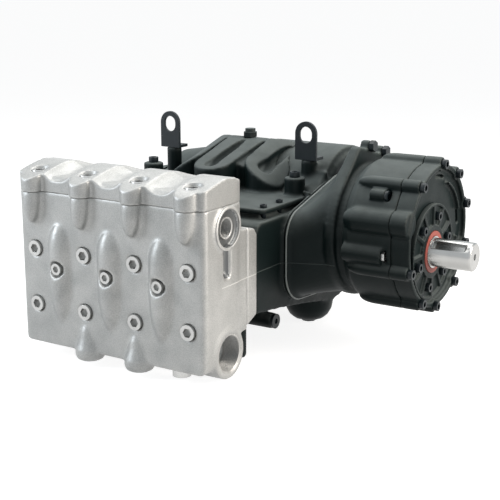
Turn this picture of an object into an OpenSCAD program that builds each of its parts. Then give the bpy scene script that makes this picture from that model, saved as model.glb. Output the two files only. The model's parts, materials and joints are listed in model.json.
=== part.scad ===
// Three-cylinder plunger pump with a gearbox on its right end.
// +X runs along the shaft to the right, -Y is the front of the head, +Z is up.
// The origin is the centre of the four foot holes, on the plane of the feet.

/* [Head] */
// Distance between neighbouring screw columns
pitch = 96; // [90:1:100]
// Width of the head along the shaft
head_w = 348; // [342:1:356]
// Front face of the head
face_y = -276; // [-280:1:-274]
// Back face of the head
back_y = -160; // [-165:1:-155]
// Underside of the head
head_bottom_z = 22; // [18:1:24]
// Joint between head and valve cover
parting_z = 266; // [262:1:268]
// Crown of the valve cover
crown_z = 306; // [302:1:310]
// Radius of the four columns
column_r = 18.5; // [17:0.5:20]
// Length of the pointed foot of a column below the joint
column_tip = 48; // [40:1:54]
// Radius of the long bulges in front of the plungers
bulge_r = 22; // [20:1:23]
// Radius of the rounded back corners
corner_r = 34; // [20:1:40]

/* [Screws] */
// Diameter of the screw heads on the head
screw_d = 24; // [22:1:26]
// Height of the upper row of front screws
upper_row_z = 175; // [170:1:180]
// Height of the lower row of front screws
lower_row_z = 86; // [80:1:92]
// Height of the plugs in the bulges
plug_z = 149; // [144:1:154]
// Front row of cover screws
cover_front_y = -259; // [-260:1:-257]
// Back row of cover screws
cover_back_y = -175; // [-180:1:-174]

/* [Ports] */
// Inner radius of the discharge thread
discharge_r = 15.2; // [14:0.1:17]
// Centre of the discharge port
discharge_y = -218; // [-222:1:-214]
// Height of the discharge port
discharge_z = 233; // [228:1:236]
// Inner radius of the suction thread
suction_r = 28.5; // [26:0.5:30]
// Centre of the suction port
suction_y = -214; // [-218:1:-210]
// Height of the suction port
suction_z = 42; // [42:1:46]
// Outer radius of the suction boss
suction_boss_r = 39; // [37:1:39]

/* [Crankcase] */
// Width of the crankcase
case_w = 348; // [340:2:356]
// Front face of the crankcase
case_front_y = -132; // [-136:1:-128]
// Back face of the crankcase
case_back_y = 272; // [266:1:276]
// Distance between the foot holes along the shaft
foot_pitch_x = 250; // [244:2:256]
// Distance between the foot holes front to back
foot_pitch_y = 230; // [224:2:236]
// Radius of the feet
foot_r = 14; // [13:1:16]
// Height of the deck at the front of the crankcase
deck_z = 222; // [216:1:224]
// Radius of the barrel round the crankshaft
barrel_r = 114; // [110:1:116]
// Radius of the barrel at its tapered left end
left_barrel_r = 80; // [76:1:84]
// Axis of the barrel, front to back
barrel_y = 170; // [166:1:174]

/* [Lid] */
// Width of the lid's base plate
plate_w = 330; // [322:1:334]
// Top of the lid's base plate
plate_top_z = 238; // [234:1:241]
// Width of the lid's dome
dome_w = 236; // [224:1:240]
// Height of the lid's crest
lid_top_z = 313; // [308:1:316]
// Radius of the arch over the lid
arch_r = 148; // [144:1:160]
// Distance between the three fingers of the lid
finger_pitch = 77; // [72:1:80]

/* [Gearbox] */
// Axis of the gearbox, front to back
gear_y = 72; // [70:1:76]
// Axis of the gearbox, height
gear_z = 190; // [188:1:194]
// Radius of the gearbox
gearbox_r = 114; // [111:1:117]
// Length of the bell from the crankcase to the gearbox
bell_length = 90; // [86:1:96]
// Length of the gearbox with its cover
gearbox_length = 116; // [110:1:120]

/* [Shaft] */
// Diameter of the input shaft
shaft_d = 45; // [40:1:46]
// Shaft axis, front to back
shaft_y = 52; // [50:1:54]
// Shaft axis, height
shaft_z = 169; // [167:1:172]
// Length of the free end of the shaft
free_length = 66; // [60:1:80]

/* [Hidden] */
$fn = 48;
silver = [0.78, 0.77, 0.74];
black = [0.12, 0.14, 0.14];
steel = [0.62, 0.62, 0.62];
seal_red = [0.65, 0.22, 0.16];
// Gap between a screw or plug and its bore
fit_gap = 0.2;

// Head and valve cover
half_w = head_w / 2;
column_x = [for (i = [-1.5, -0.5, 0.5, 1.5]) i * pitch];
bulge_x = [for (i = [-1, 0, 1]) i * pitch];
edge_r = 8;
bottom_edge_r = 13;
screw_head_h = 16;
screw_shank_r = 8;
// Front screw heads stand proud of the face by this much
screw_proud = 3;
spotface_r = 14;
plug_recess_r = 13;
plug_head_r = 9;
// Depth to which a bulge's axis lies behind the face
bulge_sink = 9;
bulge_top_z = 223;
bulge_bottom_z = 56;
cover_seat_z = 280;
bottom_plug_x = half_w - 57;
bottom_plug_y = -255;
bottom_plug_r = 14;
discharge_ring_r = 33;
discharge_recess_r = 28;
discharge_depth = 24;
suction_depth = 34;
// The suction bosses stand proud of the ends of the head by this much
suction_proud = 2;
blank_proud = 9;
// The head is square at the back up to this height
square_top_z = 222;
cover_screw_grip = 27;

// Crankcase and lid
case_x = case_w / 2;
barrel_z = 190;
// The barrel tapers to the left of this place
taper_x = 20;
// Top of the flat body behind the barrel
back_top_z = 246;
rib_t = 5;
plate_t = 8;
plate_front_y = -104;
plate_back_y = 60;
// Height of the low wall that carries the lid's plate
lid_wall_z = plate_top_z - plate_t;
finger_r = 33;
crest_y = 120;
crest_z = max(lid_top_z, barrel_z + barrel_r + 9);
arch_tilt = 15.5;
side_tip_y = 12;
middle_tip_y = -26;
pocket_r = 11;
pocket_depth = 9;
breather_y = 122;
boss_x = case_x - 31;
boss_y = 30;
boss_top_z = 268;
eye_x = case_x - 36;
eye_y = 86;
eye_base_z = barrel_z + barrel_r - 15;
eye_w = 40;
eye_t = 5;
eye_slot_r = 11.5;
boss_r = 17;
drain_y = -58;
drain_z = 49;
drain_x = 158;
foot_x = foot_pitch_x / 2;
foot_y = foot_pitch_y / 2;
lid_screw_y = [-84, -36];
rear_cover_w = 280;
rear_cover_z0 = 134;
rear_cover_z1 = 240;
rear_screw_x = [for (i = [-2:2]) i * 65];
rear_screw_z = [rear_cover_z0 + 10, rear_cover_z1 - 10];
rear_cover_t = 12;
rear_screw_d = 13;
rear_screw_length = 28;
glass_r = 14;
glass_z = 165;
bearing_y = 120;
bearing_z = 170;
bearing_screw_r = 65;
bearing_cover_r = 76;
bearing_cover_t = 12;

// Gearbox and shaft
bell_x = case_x;
gearbox_x = bell_x + bell_length;
cover_x = gearbox_x + gearbox_length;
cover_joint_x = cover_x - 30;
shaft_end_x = cover_x + 2 + free_length;
// Radius of the bolt circle on the flange of the bell
bell_bolt_r = 131;
bell_bolt_angles = [84, 62];
// Corners of the lug that carries those bolts
lug_r = 123;
lug_angles = [100, 50];
lug_x = gearbox_x - 28;
lug_t = 16;
rim_angles = [18, 52, 86, 129, 200, 238, 268, 308, 344];
rim_r = gearbox_r - 1;
rim_boss_r = 11;
rim_screw_r = 5;
big_boss_angle = 161;
big_boss_r = 20;
level_angle = 188;
fill_angle = 140;
level_boss_end = cover_x - 44;
fill_boss_end = cover_x - 52;
cap_r = 76;
cap_t = 8;
cap_screw_r = 56;
cap_angles = [for (i = [0:5]) 15 + 60 * i];
seal_outer_r = 33;
seal_inner_r = 25.3;
seal_seat_r = 25;

// A cylinder along X from x0 to x1
module bar_x(x0, x1, r, y, z) {
    translate([x0, y, z]) rotate([0, 90, 0]) cylinder(h = x1 - x0, r = r);
}

// A cylinder along Y from y0 to y1
module bar_y(y0, y1, r, x, z) {
    translate([x, y1, z]) rotate([90, 0, 0]) cylinder(h = y1 - y0, r = r);
}

// A cylinder along Y whose front end is at y0 and which rises by the given angle
module tilted_bar(y0, length, r, x, z, angle) {
    translate([x, y0, z]) rotate([-90 + angle, 0, 0]) cylinder(h = length, r = r);
}

// A shape in the plane of Y and Z, drawn out along X from x0 to x1
module slab_x(x0, x1) {
    translate([x0, 0, 0]) rotate([90, 0, 90]) linear_extrude(height = x1 - x0) children();
}

// A hexagon socket screw pointing down from the origin, its head top at z = 0
module socket_screw(d, head_h, shank_r, length) {
    difference() {
        union() {
            translate([0, 0, -head_h]) cylinder(h = head_h, d = d);
            translate([0, 0, -length]) cylinder(h = length - head_h + 1, r = shank_r);
        }
        translate([0, 0, -head_h * 0.5]) cylinder(h = head_h, d = d * 0.62, $fn = 6);
    }
}

// A round bar with elliptical ends: straight from z1 to z2, pointed at z0 and z3
module bullet(z0, z1, z2, z3, r) {
    steps = 7;
    lower = [for (i = [0:steps]) let (a = 90 * i / steps) [r * sin(a), z1 - (z1 - z0) * cos(a)]];
    upper = [for (i = [0:steps]) let (a = 90 * i / steps) [r * cos(a), z2 + (z3 - z2) * sin(a)]];
    rotate_extrude() polygon(concat(lower, upper));
}

// Plan of the head: a block with small front corners and large back corners
module head_plan() {
    hull() {
        for (side = [-1, 1]) {
            translate([side * (half_w - edge_r), face_y + edge_r]) circle(r = edge_r);
            translate([side * (half_w - corner_r), back_y - corner_r]) circle(r = corner_r);
        }
    }
}

// Front view of the head: its lower edges are rounded
module head_front_view() {
    hull() {
        for (side = [-1, 1]) {
            translate([side * (half_w - bottom_edge_r), head_bottom_z + bottom_edge_r])
                circle(r = bottom_edge_r);
            translate([side * half_w - 1, parting_z - 1]) square([2, 1]);
        }
    }
}

// Foot of a column: a half round that runs out in a point on the face of the head
module column_foot(x) {
    translate([x, face_y + 1, parting_z]) rotate([-9, 0, 0])
        bullet(-column_tip - 2, -1, 1, 3, column_r - 1);
}

// Round nose under the lower edge of the head, between two plungers
module lower_nose(x) {
    profile = [[0, 9], [16, 9], [21, 12], [23.5, 18], [23, 27], [19, 36], [15, 48], [9, 65], [0, 90]];
    translate([x, face_y + 9, 0]) rotate_extrude() polygon(profile);
}

// End of the head: suction boss with its flare and the pad round the discharge port
module head_end() {
    bar_x(half_w - 46, half_w + suction_proud, suction_boss_r, suction_y, suction_z);
    translate([half_w - 34, suction_y, suction_z])
        cylinder(h = discharge_z - suction_z - 108, r1 = suction_boss_r - 4, r2 = suction_boss_r - 11);
    bar_x(half_w - 20, half_w + 3, discharge_ring_r, discharge_y, discharge_z);
}

module fluid_head() {
    color(silver) difference() {
        union() {
            intersection() {
                translate([0, 0, head_bottom_z]) linear_extrude(height = parting_z - head_bottom_z) head_plan();
                translate([0, back_y + 1, 0]) rotate([90, 0, 0])
                    linear_extrude(height = back_y - face_y + 2) head_front_view();
            }
            intersection() {
                union() for (x = column_x) column_foot(x);
                translate([-half_w - 20, face_y - 40, 0]) cube([head_w + 40, 80, parting_z]);
            }
            for (x = bulge_x) translate([x, face_y + bulge_sink, 0])
                bullet(bulge_bottom_z, plug_z - 15, plug_z + 28, bulge_top_z, bulge_r);
            for (x = [column_x[1], column_x[2]]) lower_nose(x);
            for (side = [0, 1]) mirror([side, 0, 0])
                translate([half_w - corner_r - 10, back_y - corner_r - 2, 64])
                    cube([corner_r + 8, corner_r + 2, square_top_z - 64]);
            for (side = [0, 1]) mirror([side, 0, 0]) head_end();
        }
        for (x = column_x) {
            for (z = [upper_row_z, lower_row_z]) {
                bar_y(face_y - 30, face_y + 2, spotface_r, x, z);
                bar_y(face_y - 30, face_y - screw_proud + screw_head_h, screw_d / 2 + fit_gap, x, z);
                bar_y(face_y, back_y + 1, screw_shank_r, x, z);
            }
            for (y = [cover_front_y, cover_back_y]) translate([x, y, parting_z - 30])
                cylinder(h = 40, r = screw_shank_r);
        }
        for (x = bulge_x) {
            bar_y(face_y - 30, face_y - 2, plug_recess_r, x, plug_z);
            bar_y(face_y - 30, face_y + 14, 6, x, plug_z);
        }
        bar_x(-half_w - 10, half_w + 10, 24, suction_y, suction_z);
        bar_x(-half_w - 10, half_w + 10, 12, discharge_y, discharge_z);
        for (side = [0, 1]) mirror([side, 0, 0]) {
            bar_x(half_w + suction_proud - suction_depth, half_w + 10, suction_r, suction_y, suction_z);
            bar_x(half_w - discharge_depth, half_w + 10, discharge_r, discharge_y, discharge_z);
            bar_x(half_w, half_w + 10, discharge_recess_r, discharge_y, discharge_z);
            translate([half_w + 1, discharge_y, discharge_z - 72]) cylinder(h = 46, r = 9.5);
        }
        translate([bottom_plug_x, bottom_plug_y, head_bottom_z - 14]) cylinder(h = 30, r = bottom_plug_r - 5);
        translate([bottom_plug_x, bottom_plug_y, 0]) cylinder(h = head_bottom_z, r = bottom_plug_r);
    }
}

// Side view of the valve cover: a rounded front edge and a crown over the valves
module cover_side_view() {
    polygon([[face_y - 20, parting_z], [back_y + 5, parting_z], [back_y + 5, 288], [-162, 292],
        [-176, crown_z - 9], [-196, crown_z - 2], [-218, crown_z], [-236, crown_z - 3],
        [-254, crown_z - 7], [-270, crown_z - 11], [-281, 292], [-290, 288.5], [-296, 283]]);
}

module valve_cover() {
    // Half the angle between the two slopes of a valley and the radius of its floor
    valley_rise = 11;
    valley_r = 36;
    color(silver) difference() {
        union() {
            intersection() {
                translate([0, 0, parting_z]) linear_extrude(height = crown_z - parting_z) union() {
                    head_plan();
                    for (x = column_x) translate([x, face_y + 0.5]) circle(r = column_r);
                }
                slab_x(-half_w - 5, half_w + 5) cover_side_view();
            }
        }
        for (x = bulge_x) {
            tilted_bar(-300, 87, valley_r, x, 284 + valley_r - 5, valley_rise);
            tilted_bar(-215, 80, valley_r, x, 298 + valley_r, -5);
        }
        for (x = column_x) for (y = [cover_front_y, cover_back_y]) {
            translate([x, y, crown_z - 10]) cylinder(h = 30, r = spotface_r);
            translate([x, y, cover_seat_z]) cylinder(h = 30, r = screw_d / 2 + fit_gap);
            translate([x, y, parting_z - 1]) cylinder(h = 30, r = screw_shank_r);
        }
    }
}

module valve_cover_screws() {
    length = cover_seat_z + screw_head_h - parting_z + cover_screw_grip;
    color(steel) for (x = column_x) for (y = [cover_front_y, cover_back_y])
        translate([x, y, cover_seat_z + screw_head_h]) socket_screw(screw_d, screw_head_h, screw_shank_r, length);
}

module head_screws() {
    color(steel) for (x = column_x) for (z = [upper_row_z, lower_row_z])
        translate([x, face_y - screw_proud, z]) rotate([90, 0, 0])
            socket_screw(screw_d, screw_head_h, screw_shank_r, back_y - face_y + screw_proud);
}

module front_plugs() {
    color(steel) for (x = bulge_x) translate([x, face_y, plug_z]) rotate([90, 0, 0]) difference() {
        union() {
            translate([0, 0, 2]) cylinder(h = 8, r = plug_head_r);
            translate([0, 0, -13]) cylinder(h = 16, r = 6);
        }
        translate([0, 0, 5]) cylinder(h = 6, r = 5.5, $fn = 6);
    }
}

module head_bottom_plug() {
    color(steel) translate([bottom_plug_x, bottom_plug_y, 0]) union() {
        translate([0, 0, 10]) cylinder(h = head_bottom_z - 10, r = bottom_plug_r);
        translate([0, 0, head_bottom_z - 2]) cylinder(h = 17, r = bottom_plug_r - 5);
    }
}

module discharge_blank() {
    color(steel) difference() {
        union() {
            bar_x(-half_w - blank_proud, -half_w, 22, discharge_y, discharge_z);
            bar_x(-half_w - 1, -half_w + discharge_depth - 4, discharge_r, discharge_y, discharge_z);
        }
        translate([-half_w - 5, discharge_y, discharge_z]) rotate([0, -90, 0]) cylinder(h = 20, r = 9, $fn = 6);
    }
}

module suction_blank() {
    start = -half_w - suction_proud;
    color(steel) difference() {
        union() {
            bar_x(start - blank_proud, start, suction_r + 5, suction_y, suction_z);
            bar_x(start - 1, start + suction_depth - 8, suction_r, suction_y, suction_z);
        }
        translate([start - 4, suction_y, suction_z]) rotate([0, -90, 0]) cylinder(h = 20, r = 13, $fn = 6);
    }
}

module plunger_housing() {
    color(silver) slab_x(-half_w + 2, half_w - 2)
        polygon([[back_y, 70], [case_front_y, 82], [case_front_y, deck_z - 14], [-140, deck_z - 4], [back_y, deck_z]]);
}

// Side view of the crankcase below its barrel: low deck in front, flat back
module case_outline() {
    polygon([[case_front_y, 80], [case_front_y, deck_z - 14], [-128, deck_z - 6], [-120, deck_z - 1],
        [-112, deck_z], [barrel_y, deck_z], [barrel_y, back_top_z], [case_back_y - 14, back_top_z],
        [case_back_y, rear_cover_z1], [case_back_y, 130], [250, 84], [220, 60],
        [170, 48], [120, 42], [20, 60], [-60, 72]]);
}

// Slope that leads from the deck up to a barrel of the given radius
module deck_slope(r) {
    polygon([[boss_y - 10, deck_z], [barrel_y - r * 0.72, barrel_z + r * 0.69],
        [barrel_y, barrel_z], [barrel_y, 100], [boss_y - 10, 100]]);
}

// Barrel and slopes on which the lid lies: tapered on the left, straight on the right
module barrel() {
    slab_x(-case_x, taper_x) deck_slope(left_barrel_r);
    slab_x(taper_x - 1, case_x - rib_t) deck_slope(barrel_r);
    translate([-case_x, barrel_y, barrel_z]) rotate([0, 90, 0])
        cylinder(h = case_x + taper_x, r1 = left_barrel_r, r2 = barrel_r);
    bar_x(taper_x - 1, case_x - rib_t, barrel_r, barrel_y, barrel_z);
}

// Outline of the flange between the crankcase and the bell
module flange_outline() {
    hull() {
        translate([-11, 183]) circle(r = 44);
        translate([-4, 128]) circle(r = 51);
        translate([100, 130]) circle(r = 60);
        translate([116, 206]) circle(r = 56);
    }
}

// A back foot: a small round pad under a bowl that grows into the sump
module back_foot() {
    profile = [[0, 0], [foot_r - 2, 0], [foot_r, 2], [foot_r, 6], [26, 7], [34, 14], [40, 25],
        [42, 36], [42, 74], [0, 74]];
    rotate_extrude() polygon(profile);
}

// A front foot: a slim leg
module front_foot() {
    profile = [[0, 0], [foot_r - 2, 0], [foot_r, 2], [foot_r, 70], [foot_r + 2, 84], [0, 84]];
    rotate_extrude() polygon(profile);
}

module crankcase() {
    color(black) difference() {
        union() {
            slab_x(-case_x, case_x - rib_t) case_outline();
            intersection() {
                barrel();
                translate([-case_x, 0, 60]) cube([case_w, case_back_y, 300]);
            }
            slab_x(case_x - rib_t - 1, case_x) flange_outline();
            bar_x(case_x - rib_t - 1, case_x, barrel_r - 14, barrel_y, barrel_z);
            for (x = [-1, 1]) {
                translate([x * foot_x, foot_y, 0]) back_foot();
                translate([x * foot_x, -foot_y, 0]) front_foot();
            }
            bar_x(70, drain_x, 13, drain_y, drain_z);
            translate([drain_x - 30, drain_y, drain_z]) cylinder(h = 40, r = 12);
            translate([-plate_w / 2 + 14, plate_front_y + 14, deck_z - 2])
                cube([plate_w - 28, plate_back_y - plate_front_y - 14, lid_wall_z - deck_z + 2]);
            for (side = [-1, 1]) translate([side * eye_x, eye_y, barrel_z]) cylinder(h = eye_base_z - barrel_z, r = 13);
        }
        for (x = [-1, 1]) for (y = [-1, 1])
            translate([x * foot_x, y * foot_y, -1]) cylinder(h = 31, r = 7);
        bar_x(drain_x - 18, drain_x + 2, 8 + fit_gap, drain_y, drain_z);
        for (side = [-1, 1]) {
            translate([side * eye_x, eye_y + 3, eye_base_z - 27]) cylinder(h = 40, r = 4);
            translate([side * boss_x, boss_y, deck_z - 15]) cylinder(h = 40, r = 6);
            for (y = lid_screw_y) translate([side * (plate_w / 2 - 12), y, deck_z - 15]) cylinder(h = 30, r = 4);
        }
        for (x = rear_screw_x) for (z = rear_screw_z) bar_y(case_back_y - 9, case_back_y + 1, 4, x, z);
        for (a = [22.5:45:359]) bar_x(-case_x - 1, -case_x + 9, 4.5,
            bearing_y + bearing_screw_r * cos(a), bearing_z + bearing_screw_r * sin(a));
    }
}

// The arch over the lid, falling to the front, its top lowered by the given drop
module lid_arch(drop) {
    translate([0, crest_y, crest_z - arch_r + 2]) rotate([90 + arch_tilt, 0, 0])
        translate([0, 0, -120]) cylinder(h = 360, r = arch_r - drop, $fn = 96);
}

// The space under the lid's arch and its crest
module lid_envelope(drop) {
    intersection() {
        slab_x(-dome_w / 2, dome_w / 2) polygon([[-40, lid_wall_z], [-40, crest_z - 40], [0, crest_z - 30 - drop],
            [crest_y - 24, crest_z - 4 - drop], [crest_y, crest_z - drop], [crest_y + 20, crest_z - 4 - drop],
            [crest_y + 40, crest_z - 14 - drop], [crest_y + 40, lid_wall_z]]);
        lid_arch(drop);
    }
}

// Leaf-shaped pocket in one finger, from its round lower end at y0 to its point at y1
module finger_pocket(x, y0, y1) {
    difference() {
        translate([0, 0, plate_top_z + 8]) linear_extrude(height = 100) hull() {
            translate([x, y0 + pocket_r]) circle(r = pocket_r);
            translate([x, y1]) circle(r = 2);
        }
        lid_arch(pocket_depth);
    }
}

// Plan of one finger of the lid
module finger_plan(x, tip_y) {
    hull() {
        translate([x, tip_y + finger_r]) circle(r = finger_r);
        translate([x, crest_y]) circle(r = finger_r + 4);
    }
}

module crankcase_lid() {
    color(black) difference() {
        union() {
            translate([0, 0, lid_wall_z]) linear_extrude(height = plate_t) hull() {
                for (side = [-1, 1]) for (y = [plate_front_y + 12, plate_back_y - 12])
                    translate([side * (plate_w / 2 - 12), y]) circle(r = 12);
            }
            intersection() {
                lid_envelope(0);
                translate([0, 0, lid_wall_z]) linear_extrude(height = 100) {
                    finger_plan(0, middle_tip_y);
                    finger_plan(-finger_pitch, side_tip_y);
                    finger_plan(finger_pitch, side_tip_y);
                }
            }
            intersection() {
                lid_envelope(9);
                translate([-dome_w / 2, 26, lid_wall_z]) cube([dome_w, crest_y + 12, 100]);
            }
            for (side = [-1, 1]) {
                translate([side * boss_x, boss_y, lid_wall_z]) cylinder(h = boss_top_z - lid_wall_z, r = boss_r);
                translate([side * boss_x, boss_y, lid_wall_z]) cylinder(h = 12, r1 = boss_r + 3, r2 = boss_r);
            }
        }
        barrel();
        for (side = [-1, 1]) finger_pocket(side * finger_pitch, side_tip_y + 20, crest_y + 12);
        finger_pocket(0, middle_tip_y + 14, crest_y - 16);
        translate([0, breather_y, crest_z - 16]) cylinder(h = 60, r = 10);
        for (side = [-1, 1]) {
            translate([side * boss_x, boss_y, lid_wall_z - 1]) cylinder(h = 60, r = 6);
            for (y = lid_screw_y) translate([side * (plate_w / 2 - 12), y, lid_wall_z - 1]) cylinder(h = 30, r = 4);
        }
    }
}

module lid_screws() {
    color(steel) for (side = [-1, 1]) for (y = lid_screw_y)
        translate([side * (plate_w / 2 - 12), y, plate_top_z + 5]) socket_screw(11, 5, 4, 24);
}

module breather() {
    color(black) translate([0, breather_y, 0]) {
        translate([0, 0, crest_z - 15]) cylinder(h = 16, r = 10);
        translate([0, 0, crest_z]) cylinder(h = 8, r = 13, $fn = 6);
        translate([0, 0, crest_z + 7]) cylinder(h = 7, r = 9);
    }
}

// Lifting eye: an upright plate with a long slot, bent over at the foot
module lifting_eye(side) {
    top_z = 44;
    slot_low_z = 40;
    translate([side * eye_x, eye_y, eye_base_z]) difference() {
        union() {
            translate([0, -8, 0]) rotate([90, 0, 0]) linear_extrude(height = eye_t) {
                translate([-eye_w / 2, 0]) square([eye_w, top_z]);
                translate([0, top_z]) circle(r = eye_w / 2);
            }
            translate([-eye_w / 2, -8 - eye_t, 0]) cube([eye_w, 26, eye_t]);
        }
        rotate([90, 0, 0]) linear_extrude(height = 20) {
            translate([-eye_slot_r, slot_low_z]) square([2 * eye_slot_r, top_z - slot_low_z]);
            for (z = [slot_low_z, top_z]) translate([0, z]) circle(r = eye_slot_r);
        }
        translate([0, 3, -1]) cylinder(h = eye_t + 2, r = 4);
    }
}

module lifting_eye_left() {
    color(black) lifting_eye(-1);
}

module lifting_eye_right() {
    color(black) lifting_eye(1);
}

module eye_screw(side) {
    color(steel) translate([side * eye_x, eye_y + 3, eye_base_z + 13]) socket_screw(14, 8, 4, 30);
}

module case_screws() {
    color(steel) for (side = [-1, 1]) translate([side * boss_x, boss_y, boss_top_z + 9])
        socket_screw(17, 9, 6, boss_top_z - deck_z + 20);
}

module oil_drain_plug() {
    color(steel) difference() {
        union() {
            bar_x(drain_x, drain_x + 4, 12, drain_y, drain_z);
            bar_x(drain_x - 17, drain_x + 1, 8, drain_y, drain_z);
        }
        translate([drain_x + 1, drain_y, drain_z]) rotate([0, 90, 0]) cylinder(h = 10, r = 5, $fn = 6);
    }
}

module rear_cover() {
    color(black) difference() {
        translate([-rear_cover_w / 2, case_back_y, rear_cover_z0])
            cube([rear_cover_w, rear_cover_t, rear_cover_z1 - rear_cover_z0]);
        bar_y(case_back_y - 1, case_back_y + 20, glass_r, 0, glass_z);
        for (x = rear_screw_x) for (z = rear_screw_z)
            bar_y(case_back_y - 1, case_back_y + 20, 4, x, z);
    }
}

module rear_cover_screws() {
    color(steel) for (x = rear_screw_x) for (z = rear_screw_z)
        translate([x, case_back_y + rear_cover_t + 8, z]) rotate([-90, 0, 0])
            socket_screw(rear_screw_d, 8, 4, rear_screw_length);
}

module oil_level_glass() {
    color(steel) bar_y(case_back_y, case_back_y + rear_cover_t + 4, glass_r, 0, glass_z);
}

module left_bearing_cover() {
    color(black) difference() {
        union() {
            bar_x(-case_x - bearing_cover_t, -case_x, bearing_cover_r, bearing_y, bearing_z);
            bar_x(-case_x - bearing_cover_t - 8, -case_x - bearing_cover_t + 1, 50, bearing_y, bearing_z);
        }
        for (a = [22.5:45:359]) bar_x(-case_x - 30, -case_x + 1, 4.5,
            bearing_y + bearing_screw_r * cos(a), bearing_z + bearing_screw_r * sin(a));
    }
}

module left_bearing_screws() {
    color(steel) for (a = [22.5:45:359])
        translate([-case_x - bearing_cover_t - 8, bearing_y + bearing_screw_r * cos(a), bearing_z + bearing_screw_r * sin(a)])
            rotate([0, -90, 0]) socket_screw(14, 8, 4.5, 28);
}

// Face of the bell towards the gearbox: a round with a low lug for the two upper bolts
module lug_outline() {
    hull() {
        translate([gear_y, gear_z]) circle(r = gearbox_r - 3, $fn = 64);
        for (a = lug_angles) translate([gear_y + lug_r * cos(a), gear_z + lug_r * sin(a)]) circle(r = 12, $fn = 32);
    }
    for (a = bell_bolt_angles) translate([gear_y + bell_bolt_r * cos(a), gear_z + bell_bolt_r * sin(a)])
        circle(r = 9, $fn = 32);
}

// Circles that bound the bell: centre and radius at the crankcase, then at the gearbox
bell_circles = [
    [[-11, 183, 44], [gear_y - 20, gear_z + 20, gearbox_r - 31]],
    [[-4, 128, 51], [gear_y - 20, gear_z - 20, gearbox_r - 31]],
    [[100, 130, 60], [gear_y + 20, gear_z - 20, gearbox_r - 31]],
    [[116, 206, 56], [gear_y + 20, gear_z + 20, gearbox_r - 31]],
    [[80, 210, 30], [gear_y + lug_r * cos(lug_angles[0]), gear_z + lug_r * sin(lug_angles[0]), 12]],
    [[130, 210, 30], [gear_y + lug_r * cos(lug_angles[1]), gear_z + lug_r * sin(lug_angles[1]), 12]]];
bell_steps = 8;

// Cross-section of the bell, from t = 0 at the crankcase to t = 1 at the gearbox
module bell_slice(t) {
    x = bell_x + rib_t - 1 + t * (lug_x + 1 - bell_x - rib_t);
    blend = 0.06 + 0.94 * pow(t, 1.4);
    slab_x(x, x + 0.5) hull() for (c = bell_circles) {
        now = c[0] + blend * (c[1] - c[0]);
        shrink = 3 * sin(180 * t);
        translate([now[0], now[1]]) circle(r = now[2] - 4 * (1 - t) - shrink, $fn = 40);
    }
}

module gear_bell() {
    color(black) {
        slab_x(bell_x, bell_x + rib_t) flange_outline();
        for (i = [0:bell_steps - 1]) hull() {
            bell_slice(i / bell_steps);
            bell_slice((i + 1) / bell_steps);
        }
        slab_x(lug_x, lug_x + lug_t) lug_outline();
        bar_x(lug_x + lug_t - 1, gearbox_x, gearbox_r - 12, gear_y, gear_z, $fn = 96);
    }
}

module bell_screws() {
    color(steel) for (a = bell_bolt_angles)
        translate([lug_x + lug_t, gear_y + bell_bolt_r * cos(a), gear_z + bell_bolt_r * sin(a)])
            rotate([0, 90, 0]) cylinder(h = 8, r = 9.5, $fn = 6);
}

// Place on the rim of the gearbox at a given angle and radius
module at_rim(x, a, r) {
    translate([x, gear_y + r * cos(a), gear_z + r * sin(a)]) rotate([0, 90, 0]) children();
}

module gearbox_housing() {
    color(black) difference() {
        union() {
            translate([gearbox_x, gear_y, gear_z]) rotate([0, 90, 0]) cylinder(h = 12, r1 = gearbox_r - 8, r2 = gearbox_r);
            bar_x(gearbox_x + 12, cover_joint_x, gearbox_r, gear_y, gear_z);
            for (a = rim_angles) at_rim(cover_x - 80, a, rim_r) cylinder(h = 50, r = rim_boss_r);
            at_rim(gearbox_x + 4, big_boss_angle, rim_r - 5) {
                cylinder(h = 18, r1 = big_boss_r - 9, r2 = big_boss_r);
                translate([0, 0, 18]) cylinder(h = cover_joint_x - gearbox_x - 22, r = big_boss_r);
            }
            at_rim(gearbox_x + 6, level_angle, rim_r - 4) cylinder(h = level_boss_end - gearbox_x - 6, r = 15);
            at_rim(gearbox_x + 40, fill_angle, rim_r) cylinder(h = fill_boss_end - gearbox_x - 40, r = 10);
        }
        bar_x(cover_joint_x - 40, cover_x, seal_outer_r, shaft_y, shaft_z);
        for (a = rim_angles) at_rim(cover_x - 50, a, rim_r) cylinder(h = 50, r = rim_screw_r);
        at_rim(level_boss_end - 14, level_angle, rim_r - 4) cylinder(h = 20, r = 7);
        at_rim(level_boss_end, level_angle, rim_r - 4) cylinder(h = 7, r = 11);
        at_rim(fill_boss_end - 14, fill_angle, rim_r) cylinder(h = 20, r = 6);
        at_rim(fill_boss_end, fill_angle, rim_r) cylinder(h = 8, r = 9);
    }
}

module gearbox_cover() {
    color(black) difference() {
        union() {
            bar_x(cover_joint_x, cover_x - cap_t, gearbox_r - 1, gear_y, gear_z);
            for (a = rim_angles) at_rim(cover_joint_x, a, rim_r) cylinder(h = 28, r = rim_boss_r);
            at_rim(cover_joint_x, big_boss_angle, rim_r - 5) cylinder(h = 27, r = big_boss_r);
            difference() {
                bar_x(cover_x - cap_t - 1, cover_x, gearbox_r - 1, gear_y, gear_z);
                bar_x(cover_x - cap_t, cover_x + 1, gearbox_r - 9, gear_y, gear_z);
            }
        }
        bar_x(cover_x - cap_t, cover_x + 1, cap_r + fit_gap, shaft_y, shaft_z);
        bar_x(cover_joint_x - 1, cover_x + 1, seal_outer_r, shaft_y, shaft_z);
        for (a = rim_angles) at_rim(cover_joint_x - 1, a, rim_r) cylinder(h = 50, r = rim_screw_r);
        for (a = rim_angles) at_rim(cover_x - 2, a, rim_r) cylinder(h = 20, r = 9);
        for (a = cap_angles) bar_x(cover_x - cap_t - 9, cover_x, 4.5,
            shaft_y + cap_screw_r * cos(a), shaft_z + cap_screw_r * sin(a));
    }
}

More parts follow.
